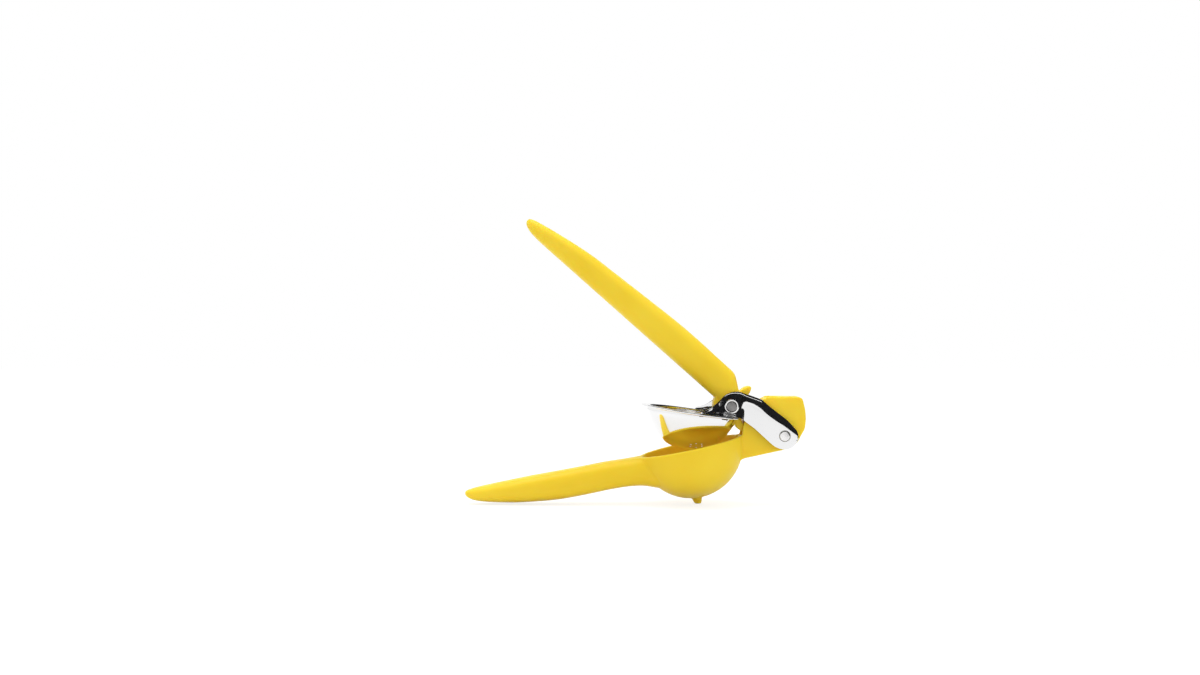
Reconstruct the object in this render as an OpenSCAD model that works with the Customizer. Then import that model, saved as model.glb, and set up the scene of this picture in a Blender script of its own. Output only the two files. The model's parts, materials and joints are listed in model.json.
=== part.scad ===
// Hinged citrus squeezer: a round bowl and a press cup on two geared levers.
// Origin at the tip of the foot under the bowl, +Z up, +X towards the hinge.

/* [Pose] */
// Slope of the bowl rim when the squeezer stands on a table, degrees
bowl_tilt = 12.2; // [10:0.1:14]
// How far the press is swung open from the bowl, degrees
press_open = 20.5; // [16:0.5:24]
// Angle between the upper handle and the bowl rim when shut, degrees
shut_angle = 0.5; // [0:0.1:1.5]

/* [Bowl] */
// Outer radius of the bowl
bowl_r = 42; // [40:0.5:44]
// Thickness of the bowl wall
bowl_wall = 3; // [2.5:0.1:3.5]
// Width of the flat ledge round the rim, where the grip meets the bowl
rim_ledge = 1.2; // [0.8:0.1:2]
// Depth of the foot below the rim
foot_depth = 46.6; // [46.2:0.1:47]
// How far the foot sits off the bowl axis, away from the hinge
foot_shift = 3.4; // [3:0.1:4]
// Radius of the foot at its end
foot_r = 2.2; // [1.8:0.1:3]
// Radius of each drain hole
drain_r = 1.7; // [1.2:0.1:2]
// Number of drain holes round the foot
drain_count = 6; // [4:1:8]
// Radius of the circle of drain holes
drain_circle_r = 12; // [10:0.5:14]

/* [Hinge] */
// Distance from the bowl axis to the rear pin
hinge_reach = 74; // [73:0.5:76]
// Depth of the rear pin below the bowl rim
hinge_drop = 6.9; // [6:0.1:8]
// Slope of the line from the rear pin up to the front pin, degrees
arm_rise = 20.9; // [20:0.1:22]
// Radius of both hinge pins
pin_r = 4; // [3.5:0.1:4.2]
// Radial play of the pins in the plastic
pin_play = 0.06; // [0.02:0.01:0.1]
// Width of the hinge housing and of the hub between the arms
hub_w = 24; // [23:0.5:25]
// Radius of the hub round the front pin
hub_r = 8.2; // [7:0.1:8.4]
// Lowest point of the housing, below the rear pin
housing_drop = 11.2; // [10.5:0.1:12]
// Radius of the fillet under the housing, where it runs into the bowl
fillet_r = 9; // [5:0.5:12]

/* [Gears] */
// Tooth size, as pitch diameter over tooth count
gear_module = 3.7; // [3.6:0.05:3.8]
// Teeth of the fixed gear, as if it went all the way round
fixed_teeth = 16;
// Teeth of the moving gear, as if it went all the way round
moving_teeth = 10;
// Pressure angle of the teeth, degrees
pressure_angle = 25; // [24:0.5:26]
// Gap between the flanks of meshing teeth
backlash = 0.4; // [0.3:0.05:0.6]
// Width of the moving gear
gear_w = 16; // [14:0.5:17]
// Gap beside and above the teeth
gear_gap = 0.4; // [0.3:0.05:0.6]

/* [Handles] */
// Length of the lower handle, from the bowl axis to its tip
lower_len = 184; // [180:1:192]
// Length of the upper handle, from the front pin to its tip
upper_len = 219.2; // [212:1:226]
// Half of the width of both grips
grip_half_w = 14.3; // [13:0.1:15]
// Squareness of the grips' section, where 2 is an ellipse
grip_square = 2.7; // [2.3:0.1:3.2]

/* [Press] */
// Outer radius of the press ring
ring_r = 40.8; // [40:0.1:41.5]
// Width of the ring outside the foot of the arms' flare
ring_lip = 0.45; // [0.3:0.05:0.7]
// Height of the edge where the flare ends on the ring
flare_edge = 0.15; // [0.1:0.05:0.3]
// Thickness of the press ring
sheet = 1.5; // [1.4:0.1:1.8]
// Thickness of the arms' sheet
arm_sheet = 1.2; // [1:0.1:1.3]
// Gap between the ring and the bowl rim when shut
rim_gap = 0.3; // [0.2:0.05:0.5]
// Radius of the mouth of the press cup
cup_r = 36; // [35.5:0.1:36.3]
// Depth of the press cup
cup_depth = 30; // [28:0.5:32]
// Thickness of the cup's sheet
cup_sheet = 1; // [0.8:0.1:1.2]
// Distance of the arms' outer faces from the middle of the squeezer
arm_y = 17.4; // [16.8:0.1:18]
// How far the arms' top edges roll inwards
roll_in = 4.5; // [4:0.1:4.6]
// Distance from the rear pin's centre to the round end of the arms
arm_end_r = 10.7; // [10:0.1:11.2]
// Outer radius of the collars on the front pin
collar_r = 5.8; // [5.4:0.1:6.2]
// Thickness of the collars
collar_t = 1.1; // [0.9:0.1:1.4]
// How far the ends of the pins stand out of what they pass through
pin_stand = 0.5; // [0.3:0.1:0.8]
// Width of the groove round the ends of the rear pin
groove_w = 0.6; // [0.4:0.1:0.8]
// Outer radius of the spacers between plastic and arms
spacer_r = 6.2; // [5.6:0.1:6.4]

/* [Hidden] */
$fn = 64;

big = 200;                                  // larger than any piece that is cut with it
seam = 0.5;                                 // how far joined shapes run into each other
yellow = [0.93, 0.76, 0.18];
steel = [0.78, 0.79, 0.81];
pale_steel = [0.88, 0.88, 0.88];
white_nylon = [0.93, 0.92, 0.88];

// Gear geometry: the moving gear rolls round the fixed one.
fixed_pitch_r = gear_module * fixed_teeth / 2;
moving_pitch_r = gear_module * moving_teeth / 2;
pin_span = fixed_pitch_r + moving_pitch_r;  // from pin to pin
lever_ratio = fixed_teeth / moving_teeth;   // handle's turn on the press for each turn of the press
fixed_tip_r = fixed_pitch_r + gear_module;
moving_tip_r = moving_pitch_r + gear_module;
root_depth = 1.25 * gear_module;

// Slopes of the three bodies, as turns about +Y.
press_turn = press_open - bowl_tilt;
handle_turn = (1 + lever_ratio) * press_open - bowl_tilt + shut_angle;

// Places in the bowl's frame (origin at the rim's centre) and in the press's frame (at the rear pin).
rear_pin_bowl = [hinge_reach, 0, -hinge_drop];
front_pin_press = pin_span * [-cos(arm_rise), 0, sin(arm_rise)];
bowl_centre = [foot_shift * cos(bowl_tilt) - foot_depth * sin(bowl_tilt), 0,
               foot_shift * sin(bowl_tilt) + foot_depth * cos(bowl_tilt)];

// The bowl, the ring and the cup share one axis when shut.
ring_low = hinge_drop + rim_gap;            // underside of the ring in the press's frame
ring_top = ring_low + sheet;
plate_in = arm_y - arm_sheet;               // inner faces of the arms
seat_y = arm_y + 0.05;                      // the collars' flat seats
cheek_in = gear_w / 2 + gear_gap;           // inner faces of the housing's cheeks
cheek_r = fixed_tip_r - 0.2;                // round front of the cheeks

// ---------- shared tools ----------

module side(width) { rotate([90, 0, 0]) linear_extrude(width, center = true) children(); }

// A cylinder across the squeezer, from one y to the other.
module across(r, y0, y1) { translate([0, y1, 0]) rotate([90, 0, 0]) cylinder(r = r, h = y1 - y0); }

module in_bowl() { translate(bowl_centre) rotate([0, -bowl_tilt, 0]) children(); }

module in_press() {
    in_bowl() translate(rear_pin_bowl) rotate([0, press_open, 0]) children();
}

module in_handle() {
    in_press() translate(front_pin_press) rotate([0, handle_turn - press_turn, 0]) children();
}

// A smooth curve through a list of points, each span cut in n steps.
function curve_point(p, i, t) =
    let (a = p[max(i - 1, 0)], b = p[i], c = p[i + 1], d = p[min(i + 2, len(p) - 1)])
    0.5 * (2 * b + (c - a) * t + (2 * a - 5 * b + 4 * c - d) * t * t
           + (3 * b - a - 3 * c + d) * t * t * t);
function curve(p, n) =
    [for (i = [0:len(p) - 2]) for (k = [0:n - 1]) curve_point(p, i, k / n), p[len(p) - 1]];

// ---------- grips ----------

function power(v, e) = sign(v) * pow(abs(v), e);

// One ring of a grip. A station is [x, top, bottom, half width].
function grip_ring(s, sides) =
    let (mid = (s[1] + s[2]) / 2, half_h = (s[1] - s[2]) / 2, e = 2 / grip_square)
    [for (k = [0:sides - 1]) let (a = 360 * k / sides)
        [s[0], s[3] * power(cos(a), e), mid + half_h * power(sin(a), e)]];

// A solid through the rings of a grip, closed at both ends.
module grip(stations, sides = 40, steps = 3) {
    rings = [for (s = curve(stations, steps)) grip_ring(s, sides)];
    last = len(rings) - 1;
    points = [for (r = rings) for (p = r) p];
    walls = [for (i = [0:last - 1]) for (k = [0:sides - 1])
        let (a = i * sides + k, b = i * sides + (k + 1) % sides)
        each [[b, a, b + sides], [b + sides, a, a + sides]]];
    near_end = [for (k = [0:sides - 1]) k];
    far_end = [for (k = [0:sides - 1]) last * sides + sides - 1 - k];
    polyhedron(points, concat(walls, [near_end, far_end]), convexity = 4);
}

// Stations of the lower grip in the bowl's frame, from its tip to inside the bowl's wall.
lower_stations = [
    [-lower_len, 1.5, -0.9, 2.4],
    [-lower_len + 1.1, 2.6, -2.5, 4.8],
    [-lower_len + 4.5, 3.3, -5.1, 7.7],
    [-lower_len + 11, 3.7, -7.9, 10.2],
    [-lower_len + 22, 3.8, -11.0, grip_half_w - 2.2],
    [-lower_len + 38, 3.7, -14.7, grip_half_w - 0.9],
    [-lower_len + 55, 3.5, -17.5, grip_half_w - 0.3],
    [-111, 2.9, -19.7, grip_half_w],
    [-91, 2.3, -20.4, grip_half_w],
    [-70, 1.9, -20.5, grip_half_w + 0.2],
    [-bowl_r - 13, 1.0, -21.3, grip_half_w + 1],
    [-bowl_r - 4, 0.6, -22.6, grip_half_w + 2.6],
    [-bowl_r + 2, 0.6, -24.2, grip_half_w + 4.3],
    [-bowl_r * 0.81, 0.6, -bowl_r * 0.633, bowl_r * 0.48],
    [-bowl_r * 0.667, 0.6, -bowl_r * 0.68, bowl_r * 0.5]];

// Stations of the upper grip in the handle's frame, from its tip to the hub.
upper_stations = [
    [-upper_len, 4.3, 2.0, 2.4],
    [-upper_len + 1.1, 5.4, 0.5, 4.8],
    [-upper_len + 4.5, 6.9, -1.5, 7.7],
    [-upper_len + 11, 8.5, -2.9, 10.2],
    [-upper_len + 21, 10.6, -3.4, grip_half_w - 2.2],
    [-upper_len + 39, 13.8, -3.5, grip_half_w - 0.9],
    [-upper_len + 59, 16.6, -3.5, grip_half_w - 0.3],
    [-141, 17.9, -3.5, grip_half_w],
    [-105, 20.2, -3.5, grip_half_w],
    [-78, 21.8, -3.5, grip_half_w],
    [-55, 22.3, -3.5, grip_half_w],
    [-36, 22.0, -3.5, grip_half_w - 1],
    [-22, 21.8, -3.5, hub_w / 2 - 0.1],
    [-14.5, 21.4, -3.5, hub_w / 2 - 0.1],
    [-9, 18.2, -4.2, hub_w / 2 - 0.1],
    [-3.4, 14.0, -5.0, hub_w / 2 - 0.1],
    [1.5, 10.2, -4.5, hub_w / 2 - 0.3]];

// ---------- gears ----------

function involute(base_r, a) = base_r * [cos(a) + a * PI / 180 * sin(a), sin(a) - a * PI / 180 * cos(a)];

// Half of a tooth's flank, from root to tip, for a tooth centred on the x axis.
function flank(pitch_r, teeth, steps = 6) =
    let (base_r = pitch_r * cos(pressure_angle),
         tip_r = pitch_r + gear_module,
         a_pitch = sqrt(pow(pitch_r / base_r, 2) - 1) * 180 / PI,
         a_tip = sqrt(pow(tip_r / base_r, 2) - 1) * 180 / PI,
         lead = a_pitch - pressure_angle,
         half = 90 / teeth - backlash / 4 / pitch_r * 180 / PI)
    [for (k = [0:steps]) let (p = involute(base_r, a_tip * k / steps), turn = -lead - half)
        [p[0] * cos(turn) - p[1] * sin(turn), p[0] * sin(turn) + p[1] * cos(turn)]];

module tooth(pitch_r, teeth) {
    edge = flank(pitch_r, teeth);
    n = len(edge) - 1;
    root = pitch_r - root_depth - seam;
    foot_half = abs(edge[0][1]) + 0.25;
    polygon(concat([[root, -foot_half]], edge, [for (k = [n:-1:0]) [edge[k][0], -edge[k][1]]],
                   [[root, foot_half]]));
}

// ---------- lower body ----------

// Side outline of the housing in the bowl's frame, shifted to the rear pin.
function arc(c, r, a0, a1, n) = [for (k = [0:n]) let (a = a0 + (a1 - a0) * k / n) c + r * [cos(a), sin(a)]];

housing_back = concat(
    arc([16.6, 23.4], 4.2, 80, -8, 6),
    arc([-21, 18.5], 41.9, 6, -24, 6),
    arc([-0.6, 4.2], 15.4, -31, -90, 8));

module housing_outline(front_r) {
    difference() {
        polygon(concat(housing_back,
                       [[-hinge_reach + bowl_r - 6, -housing_drop], [-hinge_reach + bowl_r - 6, hinge_drop],
                        [-cheek_r * 1.1, hinge_drop], [-cheek_r * 1.1, cheek_r], [-5.6, 32.6]]));
        difference() {
            translate([-big, hinge_drop]) square([big + 1, big]);
            circle(r = front_r, $fn = 120);
        }
    }
}

module fixed_gear() {
    mesh_angle = 180 - arm_rise - press_open;
    circle(r = fixed_pitch_r - root_depth, $fn = 120);
    for (k = [-1.5:1:1.5])
        rotate(mesh_angle + k * 360 / fixed_teeth) tooth(fixed_pitch_r, fixed_teeth);
}

module housing() {
    translate(rear_pin_bowl) difference() {
        side(hub_w) housing_outline(cheek_r);
        difference() {
            side(2 * cheek_in) difference() {
                translate([-big, -housing_drop - 1]) square([big + 4, big]);
                polygon([[-big, -big], [big, -big], [big, cheek_r * 0.95], [5.6, cheek_r * 0.95],
                         [-6, fixed_pitch_r - root_depth - 1], [-fixed_pitch_r + root_depth + 1, 2], [-big, 2]]);
            }
            side(2 * cheek_in) fixed_gear();
        }
    }
}

// The fillet under the housing. It leaves the underside smoothly and runs just into the bowl.
module bowl_fillet() {
    under = -hinge_drop - housing_drop;
    sink = 0.6;
    section_r = sqrt(pow(bowl_r, 2) - pow(hub_w / 2, 2)) - sink;
    centre = [sqrt(pow(section_r + fillet_r, 2) - pow(fillet_r - under, 2)), under - fillet_r];
    touch = centre * section_r / (section_r + fillet_r);
    side(hub_w) difference() {
        polygon([[centre[0], under], touch, [touch[0] - bowl_wall / 2, touch[1] + seam],
                 [touch[0], under + seam], [centre[0], under + seam]]);
        translate(centre) circle(r = fillet_r, $fn = 96);
    }
}

// The bowl, open at its rim, with its drain holes.
module bowl() {
    difference() {
        sphere(r = bowl_r, $fn = 96);
        sphere(r = bowl_r - bowl_wall, $fn = 96);
        translate([0, 0, bowl_r]) cube(2 * bowl_r, center = true);
        // the moving gear's last tooth passes the rim here
        translate([bowl_r - bowl_wall, 0, 0]) across(bowl_wall / 2, -cheek_in, cheek_in);
        for (k = [0:drain_count - 1]) rotate(360 * (k + 0.5) / drain_count)
            translate([drain_circle_r, 0, -bowl_r]) cylinder(r = drain_r, h = bowl_r / 2);
    }
}

// The lower grip, let into the bowl's wall and cut down to the rim.
module lower_grip() {
    difference() {
        grip(lower_stations);
        cylinder(r = bowl_r + rim_ledge, h = big);
        sphere(r = bowl_r - bowl_wall / 2);
    }
}

// The foot is cut level with the table.
module foot() {
    difference() {
        translate([-foot_shift, 0, -foot_depth - 2])
            cylinder(r1 = foot_r, r2 = foot_r + 2.4, h = foot_depth + 2 - bowl_r + bowl_wall / 2);
        rotate([0, bowl_tilt, 0]) translate([0, 0, -bowl_centre[2] - 5]) cube([big, big, 10], center = true);
    }
}

module lower_body() {
    color(yellow) in_bowl() difference() {
        union() {
            bowl();
            lower_grip();
            foot();
            bowl_fillet();
            difference() {
                housing();
                sphere(r = bowl_r - bowl_wall / 2);
            }
        }
        translate(rear_pin_bowl) across(pin_r + pin_play, -hub_w, hub_w);
    }
}

// ---------- upper handle ----------

module upper_handle() {
    first_tooth = handle_turn - press_turn - arm_rise;
    color(yellow) in_handle() difference() {
        union() {
            grip(upper_stations);
            across(hub_r, -hub_w / 2, hub_w / 2);
            side(gear_w) {
                circle(r = moving_pitch_r - root_depth, $fn = 96);
                for (k = [-1:2]) rotate(first_tooth + k * 360 / moving_teeth)
                    tooth(moving_pitch_r, moving_teeth);
            }
        }
        across(pin_r + pin_play, -hub_w, hub_w);
    }
}

// ---------- press ----------

// Edges of one arm in the press's frame, front to rear, as [x, z, y, height of the rolled band].
arm_top = [
    [-68.2, ring_top + 1.6, 35.6, 0.1],
    [-61.5, 14.6, 29.0, 0.8],
    [-55.8, 20.1, 23.6, 2.0],
    [-50.8, 25.6, 19.7, 4.0],
    [-46.2, 28.5, 17.9, 6.0],
    [-40.0, 29.2, arm_y, 7.2],
    [-34.0, 28.3, arm_y, 7.0],
    [-27.5, 27.1, arm_y, 6.8],
    [-20.5, 25.2, arm_y, 7.6],
    [-13.0, 21.0, arm_y, 8.0],
    [-5.5, 16.9, arm_y, 7.6],
    [1.5, 12.9, arm_y, 6.4],
    [6.6, 8.4, arm_y, 4.6]];
foot_z = ring_top + flare_edge;
arm_low_xz = [[-69, foot_z], [-63, foot_z], [-57, foot_z], [-50.5, foot_z], [-45, foot_z],
              [-40.5, foot_z], [-36.2, ring_top], [-31, 5.9], [-25, 2.7], [-19, -1.3], [-13, -5.4], [-7.5, -8.9], [-3.4, -10.3]];

function ring_y(x) = sqrt(max(pow(ring_r - ring_lip, 2) - pow(x + hinge_reach, 2), pow(arm_y, 2)));
// Lower edges, as [x, z, y, height of the flare into the ring].
arm_low = [for (p = arm_low_xz) let (y = ring_y(p[0])) [p[0], p[1], y, min(4.6, (y - arm_y) * 0.8) + 0.01]];

// The round end of the arms, where both edges turn about the rear pin.
end_angles = [36, 20, 2, -18, -40];
arm_end_top = [for (a = end_angles) [arm_end_r * cos(a), arm_end_r * sin(a), arm_y, max(0.05, (a - 2) * 0.11)]];
arm_end_low = [for (k = [0:4]) let (a = -100 + 9 * k)
    [arm_end_r * cos(a), arm_end_r * sin(a), arm_y, 0.01]];

tops = concat(curve(arm_top, 2), arm_end_top);
lows = concat(curve(arm_low, 2), arm_end_low);
band_steps = 6;
flare_steps = 5;
flare_end = 80;                             // how far round the flare turns before it meets the ring
rows = band_steps + flare_steps + 2;

// Where a point of the arm's skin lies between its edges: [distance from the top edge, y,
// angle of the sheet's thickness, from straight in to straight down].
function section(t, l, reach, j) =
    let (band = min(t[3], reach * 0.45), flare = min(l[3], reach * 0.45),
         rolled = roll_in * min(1, t[3] / 6), out = l[2] - t[2],
         a = 90 * j / band_steps,
         b = flare_end * (j - band_steps - 2) / (flare_steps - 1))
    j <= band_steps
    ? [band * (1 - cos(a)), t[2] - rolled * (1 - sin(a)),
       atan2(rolled * cos(a), band * sin(a) + 0.0001) * pow(min(1, band / 5), 2)]
    : j == band_steps + 1
    ? [(band + reach - flare) / 2, t[2], 0]
    : [reach - flare + flare * sin(b), t[2] + out * (1 - cos(b)), atan2(out * sin(b), flare * cos(b))];

// One point of the arm: of its outer skin with depth 0, and of its inner skin with the sheet's depth.
function skin(i, j, depth) =
    let (t = tops[i], l = lows[i], reach = norm([t[0] - l[0], t[1] - l[1]]),
         way = [l[0] - t[0], l[1] - t[1]] / reach, s = section(t, l, reach, j),
         in_way = j <= band_steps ? way : [0, -1], z = t[1] + way[1] * s[0] + in_way[1] * depth * sin(s[2]))
    [t[0] + way[0] * s[0] + in_way[0] * depth * sin(s[2]), s[1] - depth * cos(s[2]),
     l[1] < ring_top - 0.1 ? z : max(z, ring_top)];

module arm() {
    m = len(tops);
    n = rows;
    outer = [for (i = [0:m - 1]) for (j = [0:n - 1]) skin(i, j, 0)];
    inner = [for (i = [0:m - 1]) for (j = [0:n - 1]) skin(i, j, arm_sheet)];
    function at(i, j) = i * n + j;
    quads = [for (i = [0:m - 2]) for (j = [0:n - 2]) [at(i, j), at(i, j + 1), at(i + 1, j + 1), at(i + 1, j)]];
    skin_faces = [for (q = quads) each [[q[0], q[1], q[2]], [q[0], q[2], q[3]]]];
    back_faces = [for (f = skin_faces) [f[2] + m * n, f[1] + m * n, f[0] + m * n]];
    rim = concat([for (j = [0:n - 1]) at(0, j)], [for (i = [1:m - 1]) at(i, n - 1)],
                 [for (j = [n - 2:-1:0]) at(m - 1, j)], [for (i = [m - 2:-1:1]) at(i, 0)]);
    edge_faces = [for (k = [0:len(rim) - 1]) let (a = rim[k], b = rim[(k + 1) % len(rim)])
        each [[b, a, a + m * n], [b, a + m * n, b + m * n]]];
    polyhedron(concat(outer, inner), concat(skin_faces, back_faces, edge_faces), convexity = 6);
}

// One arm, standing on the ring. way = 0 is the far arm and 1 the near one.
module side_arm(way) {
    color(steel) in_press() mirror([0, way, 0]) difference() {
        arm();
        across(pin_r, 0, big / 2);
        translate(front_pin_press) across(pin_r, 0, big / 2);
        // a flat seat for the collar, and the groove round the rear pin
        translate(front_pin_press) across(collar_r + 0.1, seat_y, arm_y + 10);
        across(pin_r + groove_w, arm_y - 0.5, arm_y + 10);
    }
}

// Half section of the cup's outer skin, as [radius, depth below the ring].
cup_curve = curve([[cup_r, 0], [cup_r * 0.986, cup_depth * 0.133], [cup_r * 0.883, cup_depth * 0.367],
                   [cup_r * 0.75, cup_depth * 0.607], [cup_r * 0.625, cup_depth * 0.773],
                   [cup_r * 0.444, cup_depth * 0.913], [cup_r * 0.222, cup_depth * 0.98], [0, cup_depth]], 4);

// The ring round the mouth, with a gap at the hinge for the hub.
module ring() {
    difference() {
        cylinder(r = ring_r, h = sheet, $fn = 128);
        translate([0, 0, -1]) cylinder(r = cup_r - cup_sheet, h = sheet + 2, $fn = 128);
        translate([cup_r / 2, -hub_w / 2 - 0.6, -1]) cube([cup_r, hub_w + 1.2, sheet + 2]);
    }
}

// The drawn cup with its ring, cut away where the moving gear turns.
module press_cup() {
    color(steel) in_press() difference() {
        translate([-hinge_reach, 0, ring_low]) {
            ring();
            rotate_extrude($fn = 128) difference() {
                polygon(concat([[0, seam]], [for (p = cup_curve) [p[0], -p[1] + (p[1] == 0 ? seam : 0)]]));
                polygon(concat([[0, 1], [cup_r - cup_sheet, 1]],
                               [for (p = cup_curve) [p[0] - cup_sheet * cos(50 * p[1] / cup_depth), -p[1]]
                                   + [0, cup_sheet * min(1, p[1] / cup_depth * 1.3)]]));
            }
        }
        translate(front_pin_press) across(moving_tip_r + gear_gap, -cheek_in - 0.2, cheek_in + 0.2);
    }
}

// ---------- pins, collars and spacers ----------

module front_pin() {
    half = seat_y + collar_t + pin_stand;
    color(pale_steel) in_press() translate(front_pin_press) across(pin_r, -half, half);
}

module rear_pin() {
    half = arm_y + pin_stand;
    color(pale_steel) in_press() across(pin_r, -half, half);
}

module tube(outer_r, y0, y1) {
    difference() {
        across(outer_r, y0, y1);
        across(pin_r, y0 - 1, y1 + 1);
    }
}

module collar(way) {
    color(pale_steel) in_press() translate(front_pin_press) mirror([0, way, 0]) tube(collar_r, seat_y, seat_y + collar_t);
}

module spacer(place, way) {
    color(white_nylon) in_press() translate(place) mirror([0, way, 0]) tube(spacer_r, hub_w / 2 + 0.1, plate_in);
}

lower_body();
upper_handle();
side_arm(1);  // side_arm_near
side_arm(0);  // side_arm_far
press_cup();
front_pin();
rear_pin();
collar(1);  // front_collar_near
collar(0);  // front_collar_far
spacer(front_pin_press, 1);  // front_spacer_near
spacer(front_pin_press, 0);  // front_spacer_far
spacer([0, 0, 0], 1);  // rear_spacer_near
spacer([0, 0, 0], 0);  // rear_spacer_far
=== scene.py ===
import bpy
import bmesh
import json
from math import cos, sin, pi, radians, sqrt, hypot
from mathutils import Vector, Matrix


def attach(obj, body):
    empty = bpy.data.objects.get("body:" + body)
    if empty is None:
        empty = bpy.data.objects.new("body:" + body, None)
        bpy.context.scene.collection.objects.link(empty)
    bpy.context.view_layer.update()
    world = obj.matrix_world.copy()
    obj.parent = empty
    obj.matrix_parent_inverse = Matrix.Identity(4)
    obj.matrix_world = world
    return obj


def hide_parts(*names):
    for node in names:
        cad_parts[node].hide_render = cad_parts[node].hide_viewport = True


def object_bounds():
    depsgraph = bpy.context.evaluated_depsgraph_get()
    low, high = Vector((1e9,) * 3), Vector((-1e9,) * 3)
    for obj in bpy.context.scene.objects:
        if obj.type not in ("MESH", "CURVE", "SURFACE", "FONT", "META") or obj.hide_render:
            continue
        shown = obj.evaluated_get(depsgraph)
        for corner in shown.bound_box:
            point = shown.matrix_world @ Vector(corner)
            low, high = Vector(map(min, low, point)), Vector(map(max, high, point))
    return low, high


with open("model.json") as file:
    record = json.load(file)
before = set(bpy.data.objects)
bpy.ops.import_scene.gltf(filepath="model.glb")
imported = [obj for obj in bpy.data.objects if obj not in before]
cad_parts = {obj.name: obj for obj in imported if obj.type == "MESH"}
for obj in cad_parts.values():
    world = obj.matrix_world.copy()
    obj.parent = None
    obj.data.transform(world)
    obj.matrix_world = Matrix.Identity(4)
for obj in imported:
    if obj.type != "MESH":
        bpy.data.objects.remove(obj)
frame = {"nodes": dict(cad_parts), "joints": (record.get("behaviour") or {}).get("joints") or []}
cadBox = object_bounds()
mm = 0.001

# where the three bodies stand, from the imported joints

pressTurn = 8.3    # degrees about +Y
pivots = {j["name"]: Vector(j["pos_m"]) for j in frame["joints"]}
rearPin = pivots["press_pivot"]
frontPin = pivots["handle_pivot"]
pressFrame = Matrix.Translation(rearPin) @ Matrix.Rotation(radians(pressTurn), 4, "Y")
frontPinInPress = (pressFrame.inverted() @ frontPin) / mm


# shader groups

def addSocket(group, name, kind, inOut, default=None):
    socket = group.interface.new_socket(name=name, in_out=inOut, socket_type=kind)
    if default is not None:
        socket.default_value = default
    return socket


def mottleGroup():
    group = bpy.data.node_groups.new("mottle", "ShaderNodeTree")
    addSocket(group, "Scale", "NodeSocketFloat", "INPUT", 60.0)
    addSocket(group, "Low", "NodeSocketFloat", "INPUT", 0.3)
    addSocket(group, "High", "NodeSocketFloat", "INPUT", 0.5)
    addSocket(group, "Value", "NodeSocketFloat", "OUTPUT")
    nodes, links = group.nodes, group.links
    into, out = nodes.new("NodeGroupInput"), nodes.new("NodeGroupOutput")
    place = nodes.new("ShaderNodeTexCoord")
    noise = nodes.new("ShaderNodeTexNoise")
    noise.inputs["Detail"].default_value = 4.0
    spread = nodes.new("ShaderNodeMapRange")
    spread.inputs["From Min"].default_value = 0.3
    spread.inputs["From Max"].default_value = 0.7
    links.new(place.outputs["Object"], noise.inputs["Vector"])
    links.new(into.outputs["Scale"], noise.inputs["Scale"])
    links.new(noise.outputs["Fac"], spread.inputs["Value"])
    links.new(into.outputs["Low"], spread.inputs["To Min"])
    links.new(into.outputs["High"], spread.inputs["To Max"])
    links.new(spread.outputs["Result"], out.inputs["Value"])
    return group


mottle = mottleGroup()


def newMaterial(name):
    material = bpy.data.materials.new(name)
    material.use_nodes = True
    shader = material.node_tree.nodes["Principled BSDF"]
    return material, material.node_tree.nodes, material.node_tree.links, shader


def addMottle(nodes, scale, low, high):
    node = nodes.new("ShaderNodeGroup")
    node.node_tree = mottle
    node.inputs["Scale"].default_value = scale
    node.inputs["Low"].default_value = low
    node.inputs["High"].default_value = high
    return node


def addBump(nodes, links, shader, height, strength, distance):
    bump = nodes.new("ShaderNodeBump")
    bump.inputs["Strength"].default_value = strength
    bump.inputs["Distance"].default_value = distance
    links.new(height, bump.inputs["Height"])
    links.new(bump.outputs["Normal"], shader.inputs["Normal"])


def mixColours(nodes, links, factor, first, second):
    mix = nodes.new("ShaderNodeMix")
    mix.data_type = "RGBA"
    mix.inputs["A"].default_value = (*first, 1)
    mix.inputs["B"].default_value = (*second, 1)
    links.new(factor, mix.inputs["Factor"])
    return mix.outputs["Result"]


# uneven tone, uneven gloss and fine grain, which every finish on the squeezer has
def addSurface(nodes, links, shader, settings):
    tone = addMottle(nodes, settings["toneScale"], 0.0, 1.0)
    links.new(mixColours(nodes, links, tone.outputs["Value"], settings["deep"], settings["light"]),
              shader.inputs["Base Color"])
    gloss = addMottle(nodes, settings["glossScale"], settings["smooth"], settings["rough"])
    links.new(gloss.outputs["Value"], shader.inputs["Roughness"])
    grain = addMottle(nodes, settings["grainScale"], 0.0, 1.0)
    addBump(nodes, links, shader, grain.outputs["Value"], settings["grain"], settings["grainDepth"])


def moulded(name, settings):
    material, nodes, links, shader = newMaterial(name)
    addSurface(nodes, links, shader, settings)
    shader.inputs["Subsurface Weight"].default_value = settings["glow"]
    shader.inputs["Subsurface Scale"].default_value = 1.0
    shader.inputs["Subsurface Radius"].default_value = (0.005, 0.003, 0.0007)
    shader.inputs["Specular IOR Level"].default_value = settings["specular"]
    return material


def metal(name, settings):
    material, nodes, links, shader = newMaterial(name)
    shader.inputs["Metallic"].default_value = 1.0
    addSurface(nodes, links, shader, settings)
    return material


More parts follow.
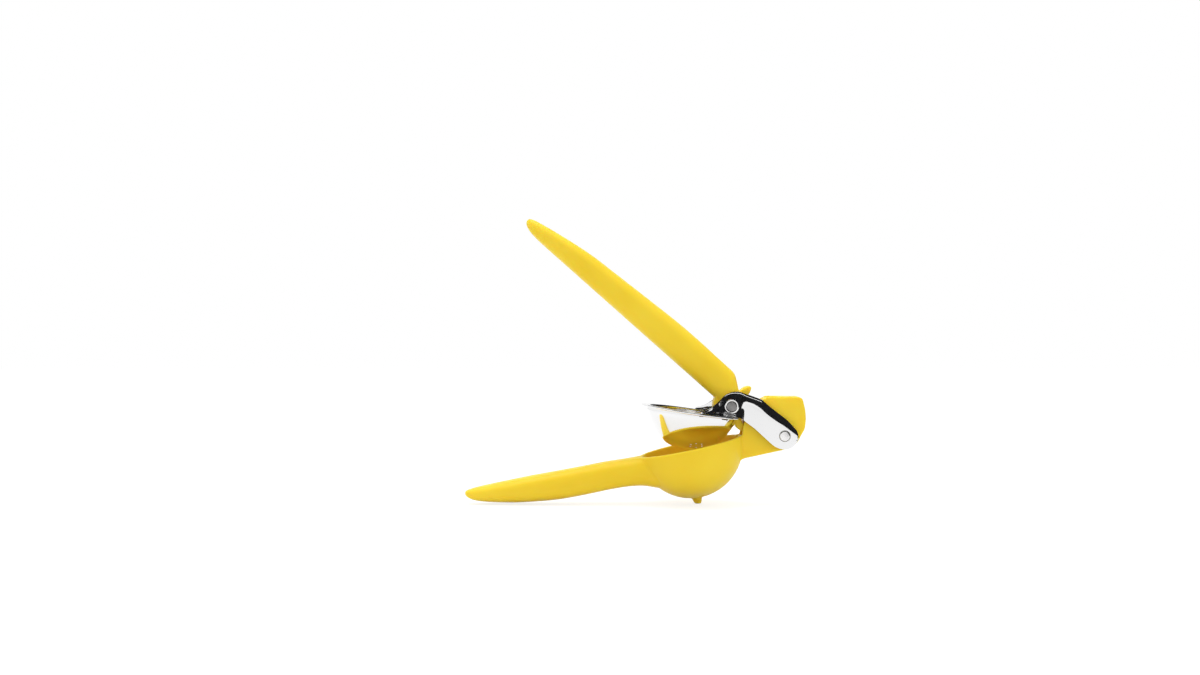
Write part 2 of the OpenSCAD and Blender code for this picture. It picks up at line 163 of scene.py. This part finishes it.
yellowNylon = moulded("yellowNylon", {
    "deep": (0.88, 0.62, 0.028), "light": (0.92, 0.69, 0.05), "toneScale": 14.0,
    "smooth": 0.34, "rough": 0.46, "glossScale": 220.0,
    "grainScale": 2600.0, "grain": 0.12, "grainDepth": 0.00004, "glow": 0.5, "specular": 0.14})
paleNylon = moulded("paleNylon", {
    "deep": (0.78, 0.75, 0.68), "light": (0.83, 0.81, 0.75), "toneScale": 30.0,
    "smooth": 0.4, "rough": 0.55, "glossScale": 300.0,
    "grainScale": 2600.0, "grain": 0.12, "grainDepth": 0.00004, "glow": 0.1, "specular": 0.5})
polishedSteel = metal("polishedSteel", {
    "deep": (0.84, 0.84, 0.845), "light": (0.89, 0.89, 0.89), "toneScale": 25.0,
    "smooth": 0.035, "rough": 0.075, "glossScale": 160.0,
    "grainScale": 900.0, "grain": 0.02, "grainDepth": 0.00001})
darkPinSteel = metal("darkPinSteel", {
    "deep": (0.22, 0.215, 0.21), "light": (0.34, 0.33, 0.325), "toneScale": 160.0,
    "smooth": 0.25, "rough": 0.4, "glossScale": 500.0,
    "grainScale": 1800.0, "grain": 0.15, "grainDepth": 0.00003})
brightPinSteel = metal("brightPinSteel", {
    "deep": (0.84, 0.83, 0.82), "light": (0.92, 0.91, 0.90), "toneScale": 120.0,
    "smooth": 0.12, "rough": 0.2, "glossScale": 500.0,
    "grainScale": 1800.0, "grain": 0.1, "grainDepth": 0.00002})
print("materials ready")


# mesh helpers

def finish(bm, name, material, body, nodeNames=(), sharpAngle=40):
    bmesh.ops.remove_doubles(bm, verts=bm.verts, dist=1e-7)
    bmesh.ops.recalc_face_normals(bm, faces=bm.faces)
    mesh = bpy.data.meshes.new(name)
    bm.to_mesh(mesh)
    bm.free()
    return dress(mesh, name, material, body, nodeNames, sharpAngle)


def dress(mesh, name, material, body, nodeNames=(), sharpAngle=40):
    mesh.materials.clear()
    mesh.materials.append(material)
    mesh.polygons.foreach_set("use_smooth", [True] * len(mesh.polygons))
    if sharpAngle < 180:
        mesh.set_sharp_from_angle(angle=radians(sharpAngle))
    piece = bpy.data.objects.new(name, mesh)
    bpy.context.scene.collection.objects.link(piece)
    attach(piece, body)
    if nodeNames:
        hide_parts(*nodeNames)
    return piece


def baked(obj):
    bpy.context.view_layer.update()
    graph = bpy.context.evaluated_depsgraph_get()
    mesh = bpy.data.meshes.new_from_object(obj.evaluated_get(graph))
    bpy.data.objects.remove(obj)
    return mesh


def tempObject(mesh, name):
    obj = bpy.data.objects.new(name, mesh)
    bpy.context.scene.collection.objects.link(obj)
    return obj


# moulded pieces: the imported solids, with the soft edges of a moulding

mouldings = {
    "lower_body": {"piece": "lowerBody", "body": "lower", "voxel": 0.7 * mm, "rounds": 9},
    "upper_handle": {"piece": "upperHandle", "body": "upper", "voxel": 0.6 * mm, "rounds": 9},
}


def moulding(node, settings):
    bm = bmesh.new()
    bm.from_mesh(frame["nodes"][node].data)
    bmesh.ops.remove_doubles(bm, verts=bm.verts, dist=1e-6)
    mesh = bpy.data.meshes.new(node + "Rough")
    bm.to_mesh(mesh)
    bm.free()
    rough = tempObject(mesh, node + "Rough")
    remesh = rough.modifiers.new("voxels", "REMESH")
    remesh.mode = "VOXEL"
    remesh.voxel_size = settings["voxel"]
    soften = rough.modifiers.new("soften", "SMOOTH")
    soften.factor = 0.5
    soften.iterations = settings["rounds"]
    return dress(baked(rough), settings["piece"], yellowNylon, settings["body"],
                 (node,), sharpAngle=180)


for node, settings in mouldings.items():
    piece = moulding(node, settings)
    print("moulded", piece.name, len(piece.data.polygons))


# press: two side arms and the drawn cup with its ring

press = {"sheet": 1.5, "armSheet": 1.2, "ringR": 40.8, "ringLip": 0.45, "flareEdge": 0.15, "reach": 74.0,
         "ringLow": 7.2, "armY": 17.4, "rollIn": 4.5, "endR": 10.7, "pinR": 4.0, "seatY": 17.45,
         "reliefR": 22.6, "reliefHalf": 8.6, "groove": 0.6, "pinFit": 0.02, "stand": 0.35,
         "collarR": 5.8, "collarT": 1.35}
ringTop = press["ringLow"] + press["sheet"]
footZ = ringTop + press["flareEdge"]
arm = {"steps": 6, "bandRows": 14, "plainRows": 6, "flareRows": 12, "flareEnd": 80,
       "leastFlare": 0.4, "greatestFlare": 3.4, "fullBand": 6, "endBand": 0.11, "edgeShare": 0.45,
       "lean": 0.15, "leanFrom": -34.3, "leanRun": 3.6}
# top edge of an arm in the press's frame, front to rear: x, z, y and the height of the rolled band
armTop = [(-68.2, ringTop + 1.6, 35.6, 0.1), (-61.5, 14.6, 29.2, 0.8), (-55.8, 20.1, 23.8, 2.0),
          (-51.2, 25.3, 18.5, 4.0), (-46.2, 28.5, 18.05, 6.0), (-40.0, 29.2, 17.6, 7.2)]
armTop += [(x, z, press["armY"], band) for x, z, band in (
    (-34.0, 28.3, 7.0), (-27.5, 27.1, 6.8), (-20.5, 25.2, 7.6), (-13.0, 21.0, 8.0), (-5.5, 16.9, 7.6),
    (1.5, 12.9, 6.4), (6.6, 8.4, 4.6))]
# lower edge, as x and z
armLow = [(-69, footZ), (-63, footZ), (-57, footZ), (-50.5, footZ), (-45, footZ), (-40.5, footZ),
          (-36.2, ringTop), (-31, 5.9), (-25, 2.7), (-19, -1.3), (-13, -5.4), (-7.5, -8.9), (-3.4, -10.3)]
# round rear end, in degrees about the rear pin
endTopAngles = (36, 20, 2, -20, -44)
endLowAngles = (-100, -89, -78, -67, -56)


# a smooth curve through every point
def curvePoint(points, i, t):
    a, b = Vector(points[max(i - 1, 0)]), Vector(points[i])
    c, d = Vector(points[i + 1]), Vector(points[min(i + 2, len(points) - 1)])
    square, cube = 2 * a - 5 * b + 4 * c - d, 3 * b - a - 3 * c + d
    return 0.5 * (2 * b + (c - a) * t + square * t * t + cube * t ** 3)


def curve(points, steps):
    found = [curvePoint(points, i, k / steps) for i in range(len(points) - 1) for k in range(steps)]
    return found + [Vector(points[-1])]


def lowEdge(x, z):
    y = sqrt(max((press["ringR"] - press["ringLip"]) ** 2 - (x + press["reach"]) ** 2, press["armY"] ** 2))
    return (x, z, y, min(arm["greatestFlare"], (y - press["armY"]) * 0.8) + arm["leastFlare"])


def endPoint(angle, band):
    a = radians(angle)
    return (press["endR"] * cos(a), press["endR"] * sin(a), press["armY"], band)


tops = curve(armTop + [endPoint(a, max(0.05, (a - 2) * arm["endBand"])) for a in endTopAngles], arm["steps"])
lows = curve([lowEdge(x, z) for x, z in armLow] + [endPoint(a, arm["leastFlare"]) for a in endLowAngles],
             arm["steps"])
armRows = arm["bandRows"] + arm["plainRows"] + arm["flareRows"] + 1


# ahead of the front pin the sheet leans outward on its way down to the ring
def leanOut(x, z, top):
    share = min(1, max(0, (arm["leanFrom"] - x) / arm["leanRun"]))
    return arm["lean"] * share * share * (3 - 2 * share) * (min(frontPinInPress[2], top) - z)


# point j of section i on the outer skin: rolled band, plain sheet, then the flare onto the ring
def armSkin(i, j):
    t, l = tops[i], lows[i]
    reach = hypot(t[0] - l[0], t[1] - l[1])
    wayX, wayZ = (l[0] - t[0]) / reach, (l[1] - t[1]) / reach
    band, flare = min(t[3], reach * arm["edgeShare"]), min(l[3], reach * arm["edgeShare"])
    bandRows, flareStart = arm["bandRows"], arm["bandRows"] + arm["plainRows"]
    if j <= bandRows:
        a = 0.5 * pi * j / bandRows
        rollIn = max(0, press["rollIn"] * min(1, t[3] / arm["fullBand"]) + leanOut(t[0], t[1], t[1]))
        d, y = band * (1 - cos(a)), t[2] - rollIn * (1 - sin(a))
    elif j < flareStart:
        d, y = band + (reach - flare - band) * (j - bandRows) / (flareStart - bandRows), t[2]
    else:
        b = radians(arm["flareEnd"]) * (j - flareStart) / arm["flareRows"]
        foot = t[2] + leanOut(l[0], l[1], t[1])
        d, y = reach - flare + flare * sin(b), t[2] + max(l[2] - foot, 0) * (1 - cos(b))
    x, z = t[0] + wayX * d, t[1] + wayZ * d
    return Vector((x, y + leanOut(x, z, t[1]), z)) * mm


def armMesh(side):
    m, n = len(tops), armRows
    bm = bmesh.new()
    bmesh.ops.create_grid(bm, x_segments=m - 1, y_segments=n - 1, size=1.0)
    for v in bm.verts:
        point = armSkin(round((v.co.x + 1) / 2 * (m - 1)), round((v.co.y + 1) / 2 * (n - 1)))
        v.co = Vector((point.x, point.y * side, point.z))
    if side < 0:
        bmesh.ops.reverse_faces(bm, faces=bm.faces)
    mesh = bpy.data.meshes.new("arm")
    bm.to_mesh(mesh)
    bm.free()
    sheet = tempObject(mesh, "arm")
    thick = sheet.modifiers.new("sheet", "SOLIDIFY")
    thick.thickness = press["armSheet"] * mm
    thick.offset = -1.0
    thick.use_even_offset = False
    return baked(sheet)


def across(bm, radius, y0, y1, centre=(0, 0, 0), segments=96):
    middle = Matrix.Translation((centre[0] * mm, (y0 + y1) / 2 * mm, centre[2] * mm))
    turned = middle @ Matrix.Rotation(pi / 2, 4, "X")
    bmesh.ops.create_cone(bm, cap_ends=True, cap_tris=False, segments=segments, radius1=radius * mm,
                          radius2=radius * mm, depth=(y1 - y0) * mm, matrix=turned)


def cutBy(mesh, cutterBm, name):
    cutterMesh = bpy.data.meshes.new(name + "Cutter")
    cutterBm.to_mesh(cutterMesh)
    cutterBm.free()
    cutter = tempObject(cutterMesh, name + "Cutter")
    whole = tempObject(mesh, name + "Whole")
    cut = whole.modifiers.new("cut", "BOOLEAN")
    cut.operation = "DIFFERENCE"
    cut.solver = "EXACT"
    cut.object = cutter
    mesh = baked(whole)
    bpy.data.objects.remove(cutter)
    return mesh


def sideArmPiece(name, side, node):
    cutter = bmesh.new()
    across(cutter, press["pinR"] + press["groove"], -press["ringR"], press["ringR"])
    across(cutter, press["pinR"] + press["pinFit"], -press["ringR"], press["ringR"], frontPinInPress)
    mesh = cutBy(armMesh(side), cutter, name)
    mesh.transform(pressFrame)
    return dress(mesh, name, polishedSteel, "press", (node,), sharpAngle=50)


sideArmPiece("sideArmFar", 1, "side_arm_far")
sideArmPiece("sideArmNear", -1, "side_arm_near")
print("side arms ready")

cup = {"mouthR": 36.0, "sheet": 1.0, "rows": 6, "lipRadius": 0.5, "lipSteps": 4, "turnSteps": 160,
       "gapLength": 30, "gapHalf": 12.6, "gapHeight": 4, "gapReach": 15.2,
       "curve": [(36, 0), (35.5, 4), (31.8, 11), (27, 18.2), (22.5, 23.2), (16, 27.4), (8, 29.4), (0, 30)]}


def spun(points, closed):
    bm = bmesh.new()
    verts = [bm.verts.new(p) for p in points]
    edges = [bm.edges.new((verts[i], verts[i + 1])) for i in range(len(verts) - 1)]
    if closed:
        edges.append(bm.edges.new((verts[-1], verts[0])))
    bmesh.ops.spin(bm, geom=verts + edges, cent=(0, 0, 0), axis=(0, 0, 1), angle=2 * pi,
                   steps=cup["turnSteps"], use_merge=True, use_duplicate=False)
    bmesh.ops.translate(bm, verts=bm.verts, vec=(-press["reach"] * mm, 0, 0))
    bmesh.ops.remove_doubles(bm, verts=bm.verts, dist=1e-6)
    bmesh.ops.recalc_face_normals(bm, faces=bm.faces)
    mesh = bpy.data.meshes.new("spun")
    bm.to_mesh(mesh)
    bm.free()
    return mesh


# outline of the drawn sheet: up the inner skin, out round the ring's lip and down the outer skin
def cupOutline():
    outer = curve([(r, -z, 0) for r, z in cup["curve"]], cup["rows"])
    inner = []
    for i, p in enumerate(outer):
        before, after = outer[max(i - 1, 0)], outer[min(i + 1, len(outer) - 1)]
        way = (after - before).normalized()
        inner.append(Vector((max(p.x + way.y * cup["sheet"], 0), p.y - way.x * cup["sheet"], 0)))
    inner[-1].x = 0
    high, lip, steps = press["sheet"], cup["lipRadius"], cup["lipSteps"]
    edge = []
    for z, first in ((high - lip, 90), (lip, 0)):
        for k in range(steps + 1):
            a = radians(first - 90 * k / steps)
            edge.append(Vector((press["ringR"] - lip + lip * cos(a), z + lip * sin(a), 0)))
    mouth = []
    for k in range(steps + 1):
        a = radians(90 * k / steps)
        mouth.append(Vector((cup["mouthR"] - cup["sheet"] + high * (1 - cos(a)), high * sin(a), 0)))
    walk = [p for p in reversed(inner) if p.y < -0.2] + mouth + edge + [Vector((cup["mouthR"] + 0.4, 0, 0))]
    walk += [p for p in outer if p.y < -0.4]
    return [Vector((p.x, 0, p.y + press["ringLow"])) * mm for p in walk]


# the cup is relieved round the handle's hub, and its ring has a gap between the arms
def pressCupPiece():
    cutter = bmesh.new()
    across(cutter, press["reliefR"], -press["reliefHalf"], press["reliefHalf"], frontPinInPress)
    mesh = cutBy(spun(cupOutline(), closed=False), cutter, "cup")
    gap = bmesh.new()
    bmesh.ops.create_cube(gap, size=1.0)
    size = Vector((cup["gapLength"], 2 * cup["gapHalf"], cup["gapHeight"]))
    bmesh.ops.scale(gap, vec=size * mm, verts=gap.verts)
    gapX = cup["mouthR"] + cup["gapReach"] - press["reach"]
    place = Vector((gapX, 0, press["ringLow"] + cup["gapHeight"] / 2))
    bmesh.ops.translate(gap, verts=gap.verts, vec=place * mm)
    mesh = cutBy(mesh, gap, "cup")
    mesh.transform(pressFrame)
    return dress(mesh, "pressCup", polishedSteel, "press", ("press_cup",), sharpAngle=35)


pressCupPiece()
print("press cup ready")


# pins and collars

def lathedPiece(name, profile, centre, side, nodeNames, material=brightPinSteel):
    bm = bmesh.new()
    verts = [bm.verts.new(Vector((r, y * side, 0)) * mm) for r, y in profile]
    edges = [bm.edges.new((verts[i], verts[i + 1])) for i in range(len(verts) - 1)]
    if profile[0][0] > 0:
        edges.append(bm.edges.new((verts[-1], verts[0])))
    bmesh.ops.spin(bm, geom=verts + edges, cent=(0, 0, 0), axis=(0, 1, 0), angle=2 * pi, steps=72,
                   use_merge=True, use_duplicate=False)
    bmesh.ops.translate(bm, verts=bm.verts, vec=Vector(centre) * mm)
    bmesh.ops.transform(bm, matrix=pressFrame, verts=bm.verts)
    return finish(bm, name, material, "press", nodeNames, sharpAngle=50)


# half an outline through the axis, as radius and place along the pin, with rounded rims
def pinProfile(half):
    r = press["pinR"]
    end = [(r, half - 0.45), (r - 0.12, half - 0.15), (r - 0.45, half - 0.02), (r - 0.8, half), (0, half)]
    return [(x, -y) for x, y in reversed(end)] + end


def collarProfile():
    rIn, rOut, y0, y1 = press["pinR"], press["collarR"], press["seatY"], press["seatY"] + press["collarT"]
    return [(rIn + 0.05, y0), (rOut - 0.1, y0), (rOut, y0 + 0.2), (rOut - 0.1, y1 - 0.35),
            (rOut - 0.45, y1 - 0.05), (rOut - 0.7, y1), (rIn + 0.3, y1), (rIn + 0.05, y1 - 0.2)]


frontHalf = press["seatY"] + press["collarT"] + press["stand"]
rearHalf = press["armY"] + press["stand"]
lathedPiece("frontPin", pinProfile(frontHalf), frontPinInPress, 1, ("front_pin",), darkPinSteel)
lathedPiece("rearPin", pinProfile(rearHalf), (0, 0, 0), 1, ("rear_pin",))
lathedPiece("frontCollarNear", collarProfile(), frontPinInPress, -1, ("front_collar_near",))
lathedPiece("frontCollarFar", collarProfile(), frontPinInPress, 1, ("front_collar_far",))
for node in ("front_spacer_near", "front_spacer_far", "rear_spacer_near", "rear_spacer_far"):
    spacer = frame["nodes"][node]
    spacer.data.materials.clear()
    spacer.data.materials.append(paleNylon)
print("pins and collars ready")


# floor, light and camera; the lamps are left out of mirror reflections unless they are glossy

studio = {"floorSize": 8.0, "floorTone": 0.82, "floorGlow": 0.62, "floorWhite": 1.26, "mirroredWhite": 1.08,
          "worldStrength": 0.78,
          "keyPower": 12.0, "keySize": 1.0, "keyPlace": (-0.25, 0.1, 1.5),
          "fillPower": 2.0, "fillSize": 1.4, "fillPlace": (0.9, -1.1, 0.7),
          "backPower": 3.5, "backSize": 0.7, "backPlace": (-0.15, 1.1, 0.35)}


def plainMaterial(name, colour, emission=0.0):
    material, nodes, links, shader = newMaterial(name)
    shader.inputs["Base Color"].default_value = (*colour, 1)
    shader.inputs["Roughness"].default_value = 0.9
    shader.inputs["Specular IOR Level"].default_value = 0.0
    if emission:
        shader.inputs["Emission Color"].default_value = (1, 1, 1, 1)
        shader.inputs["Emission Strength"].default_value = emission
    return material


def cameraOrGlossy(nodes, links, path):
    seen = nodes.new("ShaderNodeMath")
    seen.operation = "MAXIMUM"
    links.new(path.outputs["Is Camera Ray"], seen.inputs[0])
    links.new(path.outputs["Is Glossy Ray"], seen.inputs[1])
    return seen


# the floor shades like white paper, and glows where the camera or the steel sees it
def floorMaterial():
    material, nodes, links, shader = newMaterial("paleFloor")
    tone = studio["floorTone"]
    shader.inputs["Base Color"].default_value = (tone, tone, tone, 1)
    shader.inputs["Roughness"].default_value = 0.8
    shader.inputs["Specular IOR Level"].default_value = 0.1
    white = nodes.new("ShaderNodeEmission")
    path = nodes.new("ShaderNodeLightPath")
    level = nodes.new("ShaderNodeMapRange")
    level.inputs["To Min"].default_value = studio["mirroredWhite"]
    level.inputs["To Max"].default_value = studio["floorWhite"]
    links.new(path.outputs["Is Camera Ray"], level.inputs["Value"])
    links.new(level.outputs["Result"], white.inputs["Strength"])
    seen = cameraOrGlossy(nodes, links, path)
    part = nodes.new("ShaderNodeMath")
    part.operation = "MULTIPLY"
    part.inputs[1].default_value = studio["floorGlow"]
    links.new(seen.outputs[0], part.inputs[0])
    mix = nodes.new("ShaderNodeMixShader")
    links.new(part.outputs[0], mix.inputs["Fac"])
    links.new(shader.outputs["BSDF"], mix.inputs[1])
    links.new(white.outputs["Emission"], mix.inputs[2])
    links.new(mix.outputs["Shader"], nodes["Material Output"].inputs["Surface"])
    return material


def card(name, size, place, facing, material, glossyOnly=True):
    bm = bmesh.new()
    bmesh.ops.create_grid(bm, x_segments=1, y_segments=1, size=0.5)
    bmesh.ops.scale(bm, vec=(size[0], size[1], 1), verts=bm.verts)
    turn = Vector(facing).to_track_quat("Z", "Y").to_matrix().to_4x4()
    bmesh.ops.transform(bm, matrix=Matrix.Translation(place) @ turn, verts=bm.verts)
    mesh = bpy.data.meshes.new(name)
    bm.to_mesh(mesh)
    bm.free()
    mesh.materials.append(material)
    obj = tempObject(mesh, name)
    if glossyOnly:
        obj.visible_camera = False
        obj.visible_diffuse = False
        obj.visible_shadow = False
        obj.visible_transmission = False
    return obj


def areaLamp(name, power, size, place, target, glossy=False):
    data = bpy.data.lights.new(name, "AREA")
    data.energy = power
    data.shape = "DISK"
    data.size = size
    lamp = bpy.data.objects.new(name, data)
    bpy.context.scene.collection.objects.link(lamp)
    lamp.location = place
    lamp.rotation_euler = (Vector(target) - Vector(place)).to_track_quat("-Z", "Y").to_euler()
    lamp.visible_glossy = glossy
    return lamp


# dark cards that show only in reflections, mostly in the polished steel
darkCards = {
    "ceilingCard": {"size": (2.8, 2.2), "place": (0.0, 0.0, 0.9), "facing": (0, 0, -1)},
    "frontCard": {"size": (2.8, 0.75), "place": (0.0, -1.28, 0.62), "facing": (0, 0.72, -0.69)},
    "rightCard": {"size": (1.25, 1.1), "place": (0.60, -0.35, 0.52), "facing": (-0.78, 0.625, 0)},
    "endCard": {"size": (0.75, 1.1), "place": (0.33, 0.29, 0.52), "facing": (-1, 0, 0)},
}
# a thin bright card that draws the light streak along the rolled bands
stripCard = {"size": (1.4, 0.10), "place": (0.05, -0.30, 0.86), "facing": (0, 0, -1), "emission": 0.5}


def buildStudio():
    card("floor", (studio["floorSize"],) * 2, (0, 0, -0.0004), (0, 0, 1), floorMaterial(), glossyOnly=False)
    dark = plainMaterial("darkCard", (0.012, 0.012, 0.013))
    for name, settings in darkCards.items():
        card(name, settings["size"], settings["place"], settings["facing"], dark)
    strip = plainMaterial("stripLight", (1, 1, 1), stripCard["emission"])
    card("stripCard", stripCard["size"], stripCard["place"], stripCard["facing"], strip)
    world = bpy.data.worlds.new("studio")
    bpy.context.scene.world = world
    world.use_nodes = True
    nodes, links = world.node_tree.nodes, world.node_tree.links
    back = nodes["Background"]
    back.inputs["Color"].default_value = (1, 1, 1, 1)
    path = nodes.new("ShaderNodeLightPath")
    seen = cameraOrGlossy(nodes, links, path)
    level = nodes.new("ShaderNodeMapRange")
    level.inputs["To Min"].default_value = studio["worldStrength"]
    level.inputs["To Max"].default_value = 1.0
    links.new(seen.outputs[0], level.inputs["Value"])
    links.new(level.outputs["Result"], back.inputs["Strength"])
    middle = (cadBox[0] + cadBox[1]) / 2
    areaLamp("key", studio["keyPower"], studio["keySize"], studio["keyPlace"], middle, glossy=True)
    areaLamp("fill", studio["fillPower"], studio["fillSize"], studio["fillPlace"], middle)
    areaLamp("back", studio["backPower"], studio["backSize"], studio["backPlace"], middle)


def buildCamera():
    view = {"width": 0.96, "centreX": -0.0786, "centreZ": 0.1328, "height": 0.140, "distance": 1.2,
            "sensor": 36.0}
    data = bpy.data.cameras.new("camera")
    data.sensor_width = view["sensor"]
    data.lens = view["sensor"] * view["distance"] / view["width"]
    data.clip_end = 50
    camera = bpy.data.objects.new("camera", data)
    bpy.context.scene.collection.objects.link(camera)
    camera.location = (view["centreX"], -view["distance"], view["height"])
    aim = Vector((view["centreX"], 0, view["centreZ"])) - camera.location
    camera.rotation_euler = aim.to_track_quat("-Z", "Y").to_euler()
    bpy.context.scene.camera = camera


buildStudio()
buildCamera()
bpy.context.scene.view_settings.view_transform = "Standard"
print("studio ready")
